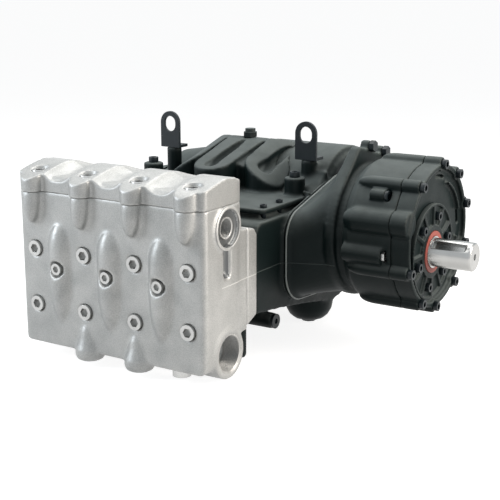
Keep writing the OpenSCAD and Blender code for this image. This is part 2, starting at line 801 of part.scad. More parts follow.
module gearbox_screws() {
    color(steel) for (a = rim_angles) at_rim(cover_x + 6, a, rim_r) socket_screw(15, 8, rim_screw_r, 56);
}

module bearing_cap() {
    color(black) difference() {
        union() {
            bar_x(cover_x - cap_t, cover_x - 4, cap_r, shaft_y, shaft_z);
            bar_x(cover_x - 5, cover_x, seal_outer_r + 9, shaft_y, shaft_z);
            for (a = [0:30:359]) translate([cover_x - 5, shaft_y, shaft_z]) rotate([a, 0, 0])
                translate([0, -3, seal_outer_r + 7]) cube([5, 6, cap_r - seal_outer_r - 8]);
            difference() {
                bar_x(cover_x - 5, cover_x, cap_r, shaft_y, shaft_z);
                bar_x(cover_x - 6, cover_x + 1, cap_r - 4, shaft_y, shaft_z);
            }
        }
        bar_x(cover_x - cap_t - 1, cover_x + 1, seal_outer_r, shaft_y, shaft_z);
        for (a = cap_angles) bar_x(cover_x - cap_t - 1, cover_x + 1, 4.5,
            shaft_y + cap_screw_r * cos(a), shaft_z + cap_screw_r * sin(a));
    }
}

module bearing_cap_screws() {
    color(steel) for (a = cap_angles)
        translate([cover_x + 4, shaft_y + cap_screw_r * cos(a), shaft_z + cap_screw_r * sin(a)])
            rotate([0, 90, 0]) socket_screw(14, 8, 4.5, 20);
}

module shaft_seal() {
    color(seal_red) difference() {
        bar_x(cover_x - 40, cover_x + 1, seal_outer_r, shaft_y, shaft_z);
        bar_x(cover_x - 41, cover_x + 2, seal_inner_r, shaft_y, shaft_z);
    }
}

module input_shaft() {
    key_length = 52;
    key_w = 14;
    key_depth = 5.5;
    chamfer = 2;
    color(steel) difference() {
        union() {
            bar_x(cover_x - 43, cover_x + 2, seal_seat_r, shaft_y, shaft_z);
            bar_x(cover_x + 1, shaft_end_x - chamfer, shaft_d / 2, shaft_y, shaft_z);
            translate([shaft_end_x - chamfer, shaft_y, shaft_z]) rotate([0, 90, 0])
                cylinder(h = chamfer, r1 = shaft_d / 2, r2 = shaft_d / 2 - chamfer);
        }
        translate([0, shaft_y, shaft_z]) rotate([45, 0, 0])
            translate([shaft_end_x - key_length - 10, -key_w / 2, shaft_d / 2 - key_depth])
                cube([key_length, key_w, 20]);
        bar_x(shaft_end_x - 14, shaft_end_x + 1, 5, shaft_y, shaft_z);
    }
}

module gearbox_fill_plug() {
    color(steel) at_rim(fill_boss_end, fill_angle, rim_r) {
        translate([0, 0, -13]) cylinder(h = 14, r = 6);
        difference() {
            cylinder(h = 5, r = 8.5);
            translate([0, 0, 1]) cylinder(h = 5, r = 4.5, $fn = 6);
        }
    }
}

module gearbox_level_plug() {
    color(steel) at_rim(level_boss_end, level_angle, rim_r - 4) {
        translate([0, 0, -13]) cylinder(h = 14, r = 7);
        cylinder(h = 5, r = 9.5, $fn = 6);
    }
}

fluid_head();
valve_cover();
valve_cover_screws();
head_screws();
front_plugs();
head_bottom_plug();
discharge_blank();
suction_blank();
plunger_housing();
crankcase();
crankcase_lid();
lid_screws();
breather();
lifting_eye_left();
lifting_eye_right();
eye_screw(-1);  // eye_screw_left
eye_screw(1);  // eye_screw_right
case_screws();
oil_drain_plug();
rear_cover();
rear_cover_screws();
oil_level_glass();
left_bearing_cover();
left_bearing_screws();
gear_bell();
bell_screws();
gearbox_housing();
gearbox_cover();
gearbox_screws();
bearing_cap();
bearing_cap_screws();
shaft_seal();
input_shaft();
gearbox_fill_plug();
gearbox_level_plug();
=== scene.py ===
# %% [markdown]
# # A plunger pump, dressed for its portrait
# The solid model of the pump is loaded as a fixed frame. Everything that follows works
# in metres and in the same place as that model, so nothing has to be fitted by eye.

import json
import math

import bpy
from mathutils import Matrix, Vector


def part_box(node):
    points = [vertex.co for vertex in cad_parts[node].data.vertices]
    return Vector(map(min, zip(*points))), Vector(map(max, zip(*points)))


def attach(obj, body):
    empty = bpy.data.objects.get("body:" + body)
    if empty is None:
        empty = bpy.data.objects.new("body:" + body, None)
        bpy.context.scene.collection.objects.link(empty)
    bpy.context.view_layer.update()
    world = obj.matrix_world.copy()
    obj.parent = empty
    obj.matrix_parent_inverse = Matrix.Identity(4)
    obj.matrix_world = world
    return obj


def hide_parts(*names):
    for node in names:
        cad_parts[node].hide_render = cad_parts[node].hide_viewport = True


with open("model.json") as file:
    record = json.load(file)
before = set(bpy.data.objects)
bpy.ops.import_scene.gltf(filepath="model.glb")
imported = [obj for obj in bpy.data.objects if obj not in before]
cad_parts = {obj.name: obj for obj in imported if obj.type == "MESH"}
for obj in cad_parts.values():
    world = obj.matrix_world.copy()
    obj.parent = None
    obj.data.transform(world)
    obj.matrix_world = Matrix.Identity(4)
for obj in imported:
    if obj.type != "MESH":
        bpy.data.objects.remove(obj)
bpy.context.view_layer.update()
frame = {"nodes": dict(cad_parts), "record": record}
MM = 0.001
RECORD = frame["record"]
SLOT_OF = {part["node"]: part["material_slot"] for part in RECORD["subparts"]}

# %% [markdown]
# ## Camera
# The camera was worked out from the screw heads of the fluid head, which stand in a
# regular grid. A long lens from the right and slightly above gives the same view.

# %% Camera
LENS_MM = 81.2
SENSOR_MM = 36.0
CAMERA_PLACE = (1.0450, -1.5413, 0.5869)
CAMERA_TURN = (90.0 - 13.70, 0.0, 32.16)

camera_data = bpy.data.cameras.new("camera")
camera_data.lens = LENS_MM
camera_data.sensor_width = SENSOR_MM
camera_data.clip_end = 200.0
camera = bpy.data.objects.new("camera", camera_data)
camera.location = CAMERA_PLACE
camera.rotation_euler = [math.radians(a) for a in CAMERA_TURN]
bpy.context.scene.collection.objects.link(camera)
bpy.context.scene.camera = camera
bpy.context.scene.view_settings.view_transform = "Standard"
print("camera with a lens of", LENS_MM, "mm")

# %% [markdown]
# ## Floor
# A studio picture of a machine has a white floor without an edge. The floor and the world
# show white to the camera and in reflections through Light Path, so they throw no extra
# light on the pump, and the floor's diffuse part keeps the shadow.

# %% Floor
FLOOR_SIZE = 80.0
FLOOR_GREY = 0.45
FLOOR_LIFT = 0.87


def new_material(name):
    material = bpy.data.materials.new(name)
    material.use_nodes = True
    material.node_tree.nodes.clear()
    return material, material.node_tree


def wire(tree, source, target):
    tree.links.new(source, target)


bpy.ops.object.select_all(action="DESELECT")
bpy.ops.mesh.primitive_plane_add(size=FLOOR_SIZE, location=(0, 0, 0))
floor = bpy.context.object
floor.name = "floor"
floor_material, tree = new_material("white_floor")
out = tree.nodes.new("ShaderNodeOutputMaterial")
add = tree.nodes.new("ShaderNodeAddShader")
diffuse = tree.nodes.new("ShaderNodeBsdfDiffuse")
diffuse.inputs["Color"].default_value = (FLOOR_GREY, FLOOR_GREY, FLOOR_GREY, 1)
glow = tree.nodes.new("ShaderNodeEmission")


def seen_rays(tree, strength, otherwise):
    path = tree.nodes.new("ShaderNodeLightPath")
    seen = path.outputs["Is Camera Ray"]
    for label in ("Is Glossy Ray", "Is Transmission Ray"):
        either = tree.nodes.new("ShaderNodeMath")
        either.operation = "MAXIMUM"
        wire(tree, seen, either.inputs[0])
        wire(tree, path.outputs[label], either.inputs[1])
        seen = either.outputs[0]
    level = tree.nodes.new("ShaderNodeMapRange")
    level.inputs["To Min"].default_value = otherwise
    level.inputs["To Max"].default_value = strength
    wire(tree, seen, level.inputs["Value"])
    return level.outputs["Result"]


wire(tree, seen_rays(tree, FLOOR_LIFT, 0.0), glow.inputs["Strength"])
wire(tree, diffuse.outputs[0], add.inputs[0])
wire(tree, glow.outputs[0], add.inputs[1])
wire(tree, add.outputs[0], out.inputs["Surface"])
floor.data.materials.append(floor_material)
print("floor", FLOOR_SIZE, "m wide")

# %% [markdown]
# ## Light
# The pump stands in a light tent: a wide soft lamp overhead makes the tops of the black
# castings pale, and one before it does the same for the slopes that face the front; a
# painted sheen in the black paint adds to the pale tops. A warm lamp on the right and a
# little behind lights the end of the head, and a cool one on the left draws the long
# highlights on its bulges. The world lights the pump dimly, so that the hollows of the
# black castings go nearly black.

# %% World and lamps
WORLD_COLOUR = (0.93, 0.97, 1.0)
WORLD_STRENGTH = 0.22
WORLD_SEEN = 1.0
COOL = (0.86, 0.93, 1.0)
WARM = (1.0, 0.93, 0.85)
NEUTRAL = (1.0, 0.99, 0.97)

world = bpy.data.worlds.new("studio")
bpy.context.scene.world = world
world.use_nodes = True
world.node_tree.nodes["Background"].inputs["Color"].default_value = (*WORLD_COLOUR, 1)
wire(world.node_tree, seen_rays(world.node_tree, WORLD_SEEN, WORLD_STRENGTH),
     world.node_tree.nodes["Background"].inputs["Strength"])


def area_lamp(name, place, aim, size, watts, colour):
    data = bpy.data.lights.new(name, "AREA")
    data.shape = "RECTANGLE"
    data.size, data.size_y = size
    data.energy = watts
    data.color = colour
    lamp = bpy.data.objects.new(name, data)
    lamp.location = place
    lamp.rotation_euler = (Vector(aim) - Vector(place)).to_track_quat("-Z", "Y").to_euler()
    bpy.context.scene.collection.objects.link(lamp)
    return lamp


area_lamp("overhead", (0.0, 0.5, 1.6), (0.1, 0.0, 0.2), (1.7, 1.2), 20, NEUTRAL)
area_lamp("top_front", (-0.6, -0.75, 1.55), (0.2, 0.0, 0.25), (1.1, 0.8), 6, NEUTRAL)
area_lamp("left_front", (-1.5, -1.3, 0.9), (-0.1, -0.2, 0.15), (0.6, 1.0), 19, COOL)
area_lamp("right_side", (1.7, 0.35, 0.75), (0.15, -0.1, 0.15), (0.6, 1.0), 28, WARM)
print("lamps", [light.name for light in bpy.data.lights])

# %% [markdown]
# ## Effects that several finishes share
# Each effect is a node group with named inputs, so every finish can use it with its own
# values. First come the tools that build such groups: one makes a group with its
# sockets, and the others add a single node and give back its output.

# %% Group tools


def new_group(name, inputs, outputs):
    group = bpy.data.node_groups.new(name, "ShaderNodeTree")
    for label, kind, value in inputs:
        socket = group.interface.new_socket(label, in_out="INPUT", socket_type=kind)
        socket.default_value = value
    for label, kind in outputs:
        group.interface.new_socket(label, in_out="OUTPUT", socket_type=kind)
    return group, group.nodes.new("NodeGroupInput"), group.nodes.new("NodeGroupOutput")


def add_math(tree, operation, first, second):
    node = tree.nodes.new("ShaderNodeMath")
    node.operation = operation
    for socket, value in zip(node.inputs, (first, second)):
        if isinstance(value, (int, float)):
            socket.default_value = value
        else:
            wire(tree, value, socket)
    return node.outputs[0]


def add_range(tree, value, low, high, to_low, to_high):
    node = tree.nodes.new("ShaderNodeMapRange")
    wire(tree, value, node.inputs["Value"])
    for label, number in (("From Min", low), ("From Max", high), ("To Min", to_low), ("To Max", to_high)):
        node.inputs[label].default_value = number
    return node.outputs["Result"]


def add_noise(tree, scale, detail, place=None):
    node = tree.nodes.new("ShaderNodeTexNoise")
    node.inputs["Detail"].default_value = detail
    if isinstance(scale, (int, float)):
        node.inputs["Scale"].default_value = scale
    else:
        wire(tree, scale, node.inputs["Scale"])
    if place is None:
        place = tree.nodes.new("ShaderNodeTexCoord").outputs["Object"]
    wire(tree, place, node.inputs["Vector"])
    return node.outputs["Fac"]


def add_mix(tree, amount, first, second, blend="MIX"):
    node = tree.nodes.new("ShaderNodeMix")
    node.data_type = "RGBA"
    node.blend_type = blend
    for socket, value in ((node.inputs[0], amount), (node.inputs[6], first), (node.inputs[7], second)):
        if isinstance(value, bpy.types.NodeSocket):
            wire(tree, value, socket)
        elif isinstance(value, (int, float)):
            socket.default_value = value
        else:
            socket.default_value = (*value, 1)
    return node.outputs[2]


# %% [markdown]
# ### Grain of a casting
# A casting has a fine grain from the sand mould and a faint mottle of colour. The same
# fine noise drives the speckle, the roughness and the bump, so that they belong together.

# %% Casting grain
COLOUR = "NodeSocketColor"
FLOAT = "NodeSocketFloat"
VECTOR = "NodeSocketVector"

grain, given, result = new_group(
    "casting_grain",
    [("Colour", COLOUR, (0.5, 0.5, 0.5, 1)), ("Shade", COLOUR, (0.4, 0.4, 0.4, 1)),
     ("Roughness", FLOAT, 0.4), ("Grain Size", FLOAT, 700.0), ("Grain Depth", FLOAT, 0.2),
     ("Speckle", FLOAT, 0.1)],
    [("Colour", COLOUR), ("Roughness", FLOAT), ("Normal", VECTOR)])
mottle = add_noise(grain, 26.0, 6.0)
fine = add_noise(grain, given.outputs["Grain Size"], 3.0)
patches = add_range(grain, mottle, 0.35, 0.68, 0.0, 1.0)
speckle = add_range(grain, fine, 0.38, 0.62, 0.0, 1.0)
shaded = add_math(grain, "ADD", add_math(grain, "MULTIPLY", patches, 0.4),
                  add_math(grain, "MULTIPLY", speckle, given.outputs["Speckle"]))
wire(grain, add_mix(grain, shaded, given.outputs["Colour"], given.outputs["Shade"]),
     result.inputs["Colour"])
change = add_range(grain, mottle, 0.3, 0.7, -0.05, 0.06)
rough_sum = add_math(grain, "ADD", given.outputs["Roughness"], change)
wire(grain, add_math(grain, "ADD", rough_sum, add_math(grain, "MULTIPLY", speckle, 0.04)),
     result.inputs["Roughness"])
bump = grain.nodes.new("ShaderNodeBump")
bump.inputs["Distance"].default_value = 0.0004
wire(grain, given.outputs["Grain Depth"], bump.inputs["Strength"])
wire(grain, fine, bump.inputs["Height"])
wire(grain, bump.outputs["Normal"], result.inputs["Normal"])
print(grain.name, len(grain.nodes), "nodes")

# %% [markdown]
# ### Parting line
# The two halves of a mould never meet quite flush. On the right side this leaves a small
# ledge at one height, from the end of the head over the crankcase to the bell, and a
# painted highlight runs along its edge.

# %% Parting line
PARTING_HEIGHT = 146 * MM
PARTING_FROM_X = 160 * MM
PARTING_TO_X = 250 * MM
PARTING_FROM_Y = -232 * MM
parting, given, result = new_group(
    "parting_line_highlight",
    [("Colour", COLOUR, (0.5, 0.5, 0.5, 1)), ("Line", COLOUR, (0.7, 0.7, 0.7, 1)), ("Amount", FLOAT, 0.7)],
    [("Colour", COLOUR), ("Height", FLOAT)])
split = parting.nodes.new("ShaderNodeSeparateXYZ")
wire(parting, parting.nodes.new("ShaderNodeTexCoord").outputs["Object"], split.inputs["Vector"])
between = add_math(parting, "MULTIPLY",
                   add_math(parting, "GREATER_THAN", split.outputs["X"], PARTING_FROM_X),
                   add_math(parting, "LESS_THAN", split.outputs["X"], PARTING_TO_X))
on_right = add_math(parting, "MULTIPLY", between,
                    add_math(parting, "GREATER_THAN", split.outputs["Y"], PARTING_FROM_Y))
step = add_range(parting, split.outputs["Z"], PARTING_HEIGHT - 0.5 * MM, PARTING_HEIGHT + 0.5 * MM,
                 1.0, 0.0)
wire(parting, add_math(parting, "MULTIPLY", step, on_right), result.inputs["Height"])
above_line = add_math(parting, "SUBTRACT", split.outputs["Z"], PARTING_HEIGHT)
from_line = add_math(parting, "ABSOLUTE", above_line, 0.0)
# Painted highlight: the colour is lifted in a thin band along the ledge.
near_line = add_range(parting, from_line, 0.3 * MM, 1.1 * MM, 1.0, 0.0)
highlight_amount = add_math(parting, "MULTIPLY", add_math(parting, "MULTIPLY", near_line, on_right),
                       given.outputs["Amount"])
wire(parting, add_mix(parting, highlight_amount, given.outputs["Colour"], given.outputs["Line"]),
     result.inputs["Colour"])
print(parting.name, len(parting.nodes), "nodes")

# %% [markdown]
# ### Painted sheen on the tops
# The black paint gets a pale painted sheen that stands for light from overhead. The more
# a surface faces upwards, the more of it lies there, in uneven patches.

# %% Painted sheen on the tops
top_sheen, given, result = new_group(
    "painted_top_sheen",
    [("Colour", COLOUR, (0.05, 0.05, 0.05, 1)), ("Dust", COLOUR, (0.1, 0.1, 0.1, 1)),
     ("Roughness", FLOAT, 0.4), ("Amount", FLOAT, 1.0)],
    [("Colour", COLOUR), ("Roughness", FLOAT)])
facing = top_sheen.nodes.new("ShaderNodeSeparateXYZ")
wire(top_sheen, top_sheen.nodes.new("ShaderNodeNewGeometry").outputs["Normal"], facing.inputs["Vector"])
upward = add_range(top_sheen, facing.outputs["Z"], 0.0, 0.85, 0.0, 1.0)
uneven = add_range(top_sheen, add_noise(top_sheen, 34.0, 5.0), 0.3, 0.65, 0.7, 1.0)
sheen_film = add_math(top_sheen, "MULTIPLY", upward, uneven)
sheen_amount = add_math(top_sheen, "MULTIPLY", sheen_film, given.outputs["Amount"])
wire(top_sheen, add_mix(top_sheen, sheen_amount, given.outputs["Colour"], given.outputs["Dust"]),
     result.inputs["Colour"])
wire(top_sheen, add_math(top_sheen, "ADD", given.outputs["Roughness"], add_math(top_sheen, "MULTIPLY", sheen_amount, 0.12)),
     result.inputs["Roughness"])
print(top_sheen.name, len(top_sheen.nodes), "nodes")

# %% [markdown]
# ### Worn and highlit edges
# Edges are a little brighter, partly from the wear of hands and tools and partly as a
# painted highlight. Pointiness finds them, and a noise breaks them up.

# %% Worn and highlit edges
edge_wear_highlight, given, result = new_group(
    "worn_and_highlit_edges",
    [("Colour", COLOUR, (0.5, 0.5, 0.5, 1)), ("Worn", COLOUR, (0.8, 0.8, 0.8, 1)), ("Amount", FLOAT, 0.5)],
    [("Colour", COLOUR)])
geometry = edge_wear_highlight.nodes.new("ShaderNodeNewGeometry")
edge = add_range(edge_wear_highlight, geometry.outputs["Pointiness"], 0.51, 0.60, 0.0, 1.0)
broken = add_range(edge_wear_highlight, add_noise(edge_wear_highlight, 90.0, 4.0), 0.35, 0.6, 0.2, 1.0)
amount = add_math(edge_wear_highlight, "MULTIPLY", add_math(edge_wear_highlight, "MULTIPLY", edge, broken), given.outputs["Amount"])
wire(edge_wear_highlight, add_mix(edge_wear_highlight, amount, given.outputs["Colour"], given.outputs["Worn"]), result.inputs["Colour"])
print(edge_wear_highlight.name, len(edge_wear_highlight.nodes), "nodes")

# %% [markdown]
# ### Turned metal
# A lathe leaves fine rings round the axis of a shaft, which here runs along X.

# %% Turned metal
turned, given, result = new_group(
    "turned_marks",
    [("Roughness", FLOAT, 0.2), ("Pitch", FLOAT, 900.0), ("Depth", FLOAT, 0.1)],
    [("Roughness", FLOAT), ("Normal", VECTOR)])
stretch = turned.nodes.new("ShaderNodeMapping")
stretch.inputs["Scale"].default_value = (1.0, 0.04, 0.04)
wire(turned, turned.nodes.new("ShaderNodeTexCoord").outputs["Object"], stretch.inputs["Vector"])
lines = add_noise(turned, given.outputs["Pitch"], 2.0, stretch.outputs["Vector"])
ring_roughness = add_range(turned, lines, 0.3, 0.7, -0.02, 0.03)
wire(turned, add_math(turned, "ADD", given.outputs["Roughness"], ring_roughness),
     result.inputs["Roughness"])
bump = turned.nodes.new("ShaderNodeBump")
bump.inputs["Distance"].default_value = 0.0001
wire(turned, given.outputs["Depth"], bump.inputs["Strength"])
wire(turned, lines, bump.inputs["Height"])
wire(turned, bump.outputs["Normal"], result.inputs["Normal"])
print(turned.name, len(turned.nodes), "nodes")

# %% [markdown]
# ## Finishes
# The head is a bare casting with a satin, silvery skin. The crankcase and the gearbox
# wear a thin coat of black paint with a faint green cast. The screws of the head are zinc
# plated and the others dark, the shaft is ground bright, and the seal is red-brown rubber.

# %% Finish tools


def place_group(tree, group, **values):
    node = tree.nodes.new("ShaderNodeGroup")
    node.node_tree = group
    for label, value in values.items():
        socket = node.inputs[label.replace("_", " ")]
        if isinstance(value, tuple):
            socket.default_value = (*value, 1)
        elif isinstance(value, (int, float)):
            socket.default_value = value
        else:
            wire(tree, value, socket)
    return node


def start_finish(name, metallic):
    material, tree = new_material(name)
    shader = tree.nodes.new("ShaderNodeBsdfPrincipled")
    shader.inputs["Metallic"].default_value = metallic
    out = tree.nodes.new("ShaderNodeOutputMaterial")
    wire(tree, shader.outputs[0], out.inputs["Surface"])
    return material, tree, shader


def casting_finish(name, metallic, colour, shade, roughness, size, depth, worn_highlight, wear_highlight_amount,
                   gloss=0.5, line_highlight=None, sheen_colour=None, speckle=0.1):
    material, tree, shader = start_finish(name, metallic)
    shader.inputs["Specular IOR Level"].default_value = gloss
    skin = place_group(tree, grain, Colour=colour, Shade=shade, Roughness=roughness,
                       Grain_Size=size, Grain_Depth=depth, Speckle=speckle)
    # Edges are brightened, partly as wear and partly as a painted highlight.
    edges = place_group(tree, edge_wear_highlight, Colour=skin.outputs["Colour"], Worn=worn_highlight, Amount=wear_highlight_amount)
    colour_out, normal_out = edges.outputs["Colour"], skin.outputs["Normal"]
    rough_out = skin.outputs["Roughness"]
    # A pale painted sheen on the faces that look upwards.
    if sheen_colour:
        sheen_film = place_group(tree, top_sheen, Colour=colour_out, Dust=sheen_colour, Roughness=rough_out)
        colour_out, rough_out = sheen_film.outputs["Colour"], sheen_film.outputs["Roughness"]
    # A painted highlight along the parting line, over a bump for its ledge.
    if line_highlight:
        seam = place_group(tree, parting, Colour=colour_out, Line=line_highlight)
        ledge = tree.nodes.new("ShaderNodeBump")
        ledge.inputs["Distance"].default_value = 1.2 * MM
        wire(tree, seam.outputs["Height"], ledge.inputs["Height"])
        wire(tree, normal_out, ledge.inputs["Normal"])
        colour_out, normal_out = seam.outputs["Colour"], ledge.outputs["Normal"]
    wire(tree, colour_out, shader.inputs["Base Color"])
    wire(tree, rough_out, shader.inputs["Roughness"])
    wire(tree, normal_out, shader.inputs["Normal"])
    return material


def turned_finish(name, colour, roughness, pitch, depth):
    material, tree, shader = start_finish(name, 1.0)
    marks = place_group(tree, turned, Roughness=roughness, Pitch=pitch, Depth=depth)
    stain = add_range(tree, add_noise(tree, 60.0, 5.0), 0.35, 0.7, 0.0, 0.4)
    darker = tuple(0.8 * c for c in colour)
    wire(tree, add_mix(tree, stain, colour, darker), shader.inputs["Base Color"])
    wire(tree, marks.outputs["Roughness"], shader.inputs["Roughness"])
    wire(tree, marks.outputs["Normal"], shader.inputs["Normal"])
    return material


# %% Finishes of the pump
# Colours of the painted highlight along the parting line.
SILVER_LINE_HIGHLIGHT = (0.80, 0.79, 0.76)
BLACK_LINE_HIGHLIGHT = (0.10, 0.12, 0.115)
silver = casting_finish("cast_silver", 0.45, (0.52, 0.52, 0.505), (0.30, 0.305, 0.30), 0.42,
                        620.0, 0.50, (0.75, 0.74, 0.71), 0.7, line_highlight=SILVER_LINE_HIGHLIGHT, speckle=0.45)
# The last colour of the black paint is its painted sheen for the tops.
black = casting_finish("black_paint", 0.0, (0.004, 0.009, 0.009), (0.003, 0.007, 0.007), 0.44,
                       420.0, 0.22, (0.040, 0.046, 0.044), 0.5, gloss=0.12, line_highlight=BLACK_LINE_HIGHLIGHT,
                       sheen_colour=(0.102, 0.118, 0.115))
# A paler finish for the outer bevels of the flange rims: a painted highlight.
rim_painted_highlight = casting_finish("rim_painted_highlight", 0.0, (0.27, 0.30, 0.285), (0.18, 0.20, 0.195), 0.35,
                          420.0, 0.10, (0.36, 0.38, 0.37), 0.4)
# Milled finish whose dark colour is a painted reflection of dark surroundings.
milled_painted_reflection = casting_finish("milled_face_painted_reflection", 0.7, (0.15, 0.155, 0.155), (0.11, 0.115, 0.12), 0.40,
                          900.0, 0.10, (0.5, 0.5, 0.48), 0.3)
plate = casting_finish("dark_steel", 0.0, (0.006, 0.011, 0.014), (0.004, 0.008, 0.011), 0.38,
                       900.0, 0.06, (0.04, 0.05, 0.055), 0.4, gloss=0.3)
steel = turned_finish("bright_steel", (0.42, 0.42, 0.41), 0.24, 1500.0, 0.02)
zinc = casting_finish("zinc_steel", 1.0, (0.47, 0.47, 0.46), (0.34, 0.34, 0.335), 0.30,
                      1100.0, 0.05, (0.75, 0.75, 0.73), 0.5)
rubber = casting_finish("seal", 0.0, (0.30, 0.055, 0.035), (0.22, 0.04, 0.03), 0.52,
                        900.0, 0.08, (0.36, 0.09, 0.06), 0.2)
glass = casting_finish("sight_glass", 0.0, (0.30, 0.27, 0.18), (0.24, 0.2, 0.12), 0.12,
                       300.0, 0.02, (0.4, 0.36, 0.26), 0.2)
FINISH = {
    "cast_silver": silver,
    "black_paint": black,
    "bright_steel": steel,
    "zinc_steel": zinc,
    "dark_steel": plate,
    "seal": rubber,
    "sight_glass": glass,
}
print("finishes", sorted(FINISH))

# %% Dress the nodes that stay
for node_name, slot_name in SLOT_OF.items():
    node = frame["nodes"][node_name]
    node.data.materials.clear()
    node.data.materials.append(FINISH[slot_name])
print("dressed", len(SLOT_OF), "nodes")

# %% [markdown]
# ## Castings
# A casting has no sharp corner: the sand mould rounds every edge, and every hollow has a
# fillet. The solid model has its true size but hard corners. A copy of it is merged,
# rebuilt from small voxels and smoothed, which rounds edges and hollows alike, and then
# it stands for the solid. Bevelling each edge by hand would take days on such shapes.

# %% Casting tools
MERGE = 0.00002


def select_only(piece):
    bpy.ops.object.select_all(action="DESELECT")
    piece.select_set(True)
    bpy.context.view_layer.objects.active = piece


def apply_modifier(piece, kind, **settings):
    modifier = piece.modifiers.new(kind.lower(), kind)
    for label, value in settings.items():
        setattr(modifier, label, value)
    select_only(piece)
    bpy.ops.object.modifier_apply(modifier=modifier.name)


def merged_copy(node_name, piece_name):
    piece = frame["nodes"][node_name].copy()
    piece.data = frame["nodes"][node_name].data.copy()
    piece.name = piece_name
    piece.parent = None
    bpy.context.scene.collection.objects.link(piece)
    select_only(piece)
    bpy.ops.object.mode_set(mode="EDIT")
    bpy.ops.mesh.select_all(action="SELECT")
    bpy.ops.mesh.remove_doubles(threshold=MERGE)
    bpy.ops.object.mode_set(mode="OBJECT")
    return piece


def place_in_mesh(piece):
    select_only(piece)
    bpy.ops.object.transform_apply(location=True, rotation=True, scale=True)
    return piece


def join_all(piece, others):
    bpy.ops.object.select_all(action="DESELECT")
    for other in others:
        other.select_set(True)
    piece.select_set(True)
    bpy.context.view_layer.objects.active = piece
    bpy.ops.object.join()
    return piece


def cast_again(node_name, voxel, passes, added=(), cuts=()):
    piece = merged_copy(node_name, node_name + "_casting")
    if added:
        join_all(piece, added)
    apply_modifier(piece, "REMESH", mode="VOXEL", voxel_size=voxel, use_smooth_shade=True)
    for cut in cuts:
        apply_modifier(piece, "BOOLEAN", operation="DIFFERENCE", solver="EXACT", object=cut)
        bpy.data.objects.remove(cut)
    if cuts:
        apply_modifier(piece, "REMESH", mode="VOXEL", voxel_size=voxel, use_smooth_shade=True)
    apply_modifier(piece, "SMOOTH", factor=0.5, iterations=passes)
    select_only(piece)
    bpy.ops.object.shade_smooth()
    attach(piece, "pump")
    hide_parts(node_name)
    print(piece.name, len(piece.data.polygons), "faces")
    return piece


# %% [markdown]
# ## What the moulds add
# The solid leaves out the small forms of the moulds, such as noses, webs and grooves.
# Each is started from a primitive or spun in edit mode and joined to its casting before
# the voxels are made, so it grows out of the wall with a fillet, as cast metal does.
# Grooves are cut with a boolean in the same way. First come the places they refer to.

# %% Places taken from the solid
GEAR_Y = 72 * MM
GEAR_Z = 190 * MM
RIM_R = 113 * MM
FACE_X = Vector(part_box("gearbox_cover")[1]).x
HEAD_END_X = 174
DISCHARGE = (-218, 233)
SUCTION = (-214, 42)
COLUMN_PITCH = 96


def on_gear(angle, radius):
    turn = math.radians(angle)
    return GEAR_Y + radius * math.cos(turn), GEAR_Z + radius * math.sin(turn)


print("face of the gearbox cover at", round(FACE_X, 4), "m")

# %% [markdown]
# ### Noses of the bosses
# The long screw bosses round the gearbox begin in points. A stretched ball on the start
# of each boss gives it one.


# %% Noses of the bosses
def nose(tip_x, end_x, radius, angle, distance):
    y, z = on_gear(angle, distance)
    bpy.ops.object.select_all(action="DESELECT")
    bpy.ops.mesh.primitive_uv_sphere_add(
        segments=24, ring_count=12, radius=1.0, location=(end_x, y, z),
        rotation=(0, math.pi / 2, 0), scale=(radius, radius, end_x - tip_x))
    return place_in_mesh(bpy.context.object)


BOSS_START = FACE_X - 80 * MM
noses = [nose(BOSS_START - 26 * MM, BOSS_START + 1 * MM, 11 * MM, angle, RIM_R)
         for angle in (18, 52, 86, 129, 200, 238, 268, 308, 344)]
print("noses", len(noses))

# %% [markdown]
# ### Ribs and grooves of the gearbox cover
# They run round the axis of the gears, so each is a flat block, spun through its angle.


# %% Blocks spun round the gearbox
def arc_block(x0, x1, inner, outer, first, last):
    middle = (inner + outer) / 2
    y, z = on_gear(first, middle)
    bpy.ops.object.select_all(action="DESELECT")
    bpy.ops.mesh.primitive_plane_add(
        size=1, location=((x0 + x1) / 2, y, z), rotation=(math.radians(first), 0, 0))
    block = bpy.context.object
    block.scale = (x1 - x0, outer - inner, 1)
    place_in_mesh(block)
    bpy.ops.object.mode_set(mode="EDIT")
    bpy.ops.mesh.select_all(action="SELECT")
    bpy.ops.mesh.spin(steps=max(3, round((last - first) / 6)), angle=math.radians(last - first),
                      center=(0, GEAR_Y, GEAR_Z), axis=(1, 0, 0))
    bpy.ops.mesh.select_all(action="SELECT")
    bpy.ops.mesh.remove_doubles(threshold=MERGE)
    bpy.ops.mesh.normals_make_consistent(inside=False)
    bpy.ops.object.mode_set(mode="OBJECT")
    return block


FLOOR_X = FACE_X - 8 * MM
cover_ribs = [arc_block(FLOOR_X - 2 * MM, FACE_X - 1 * MM, 81 * MM, 84 * MM, -10, 60),
              arc_block(FLOOR_X - 2 * MM, FACE_X, 85 * MM, 88.5 * MM, 66, 112)]
cover_grooves = [arc_block(FLOOR_X - 9 * MM, FACE_X, 88 * MM, 97 * MM, 26, 50),
                 arc_block(FLOOR_X - 9 * MM, FACE_X, 88 * MM, 97 * MM, -12, 14),
                 arc_block(FLOOR_X - 7 * MM, FACE_X, 63 * MM, 73 * MM, -8, 19),
                 arc_block(FLOOR_X - 7 * MM, FACE_X, 91 * MM, 96 * MM, 92, 112)]
print("ribs", len(cover_ribs), "grooves", len(cover_grooves))

# %% [markdown]
# ### Stretched balls
# The fingers of the lid have hollows in the shape of a long leaf, and the two noses under
# the head have full, round tops. Both are balls stretched along their three axes.


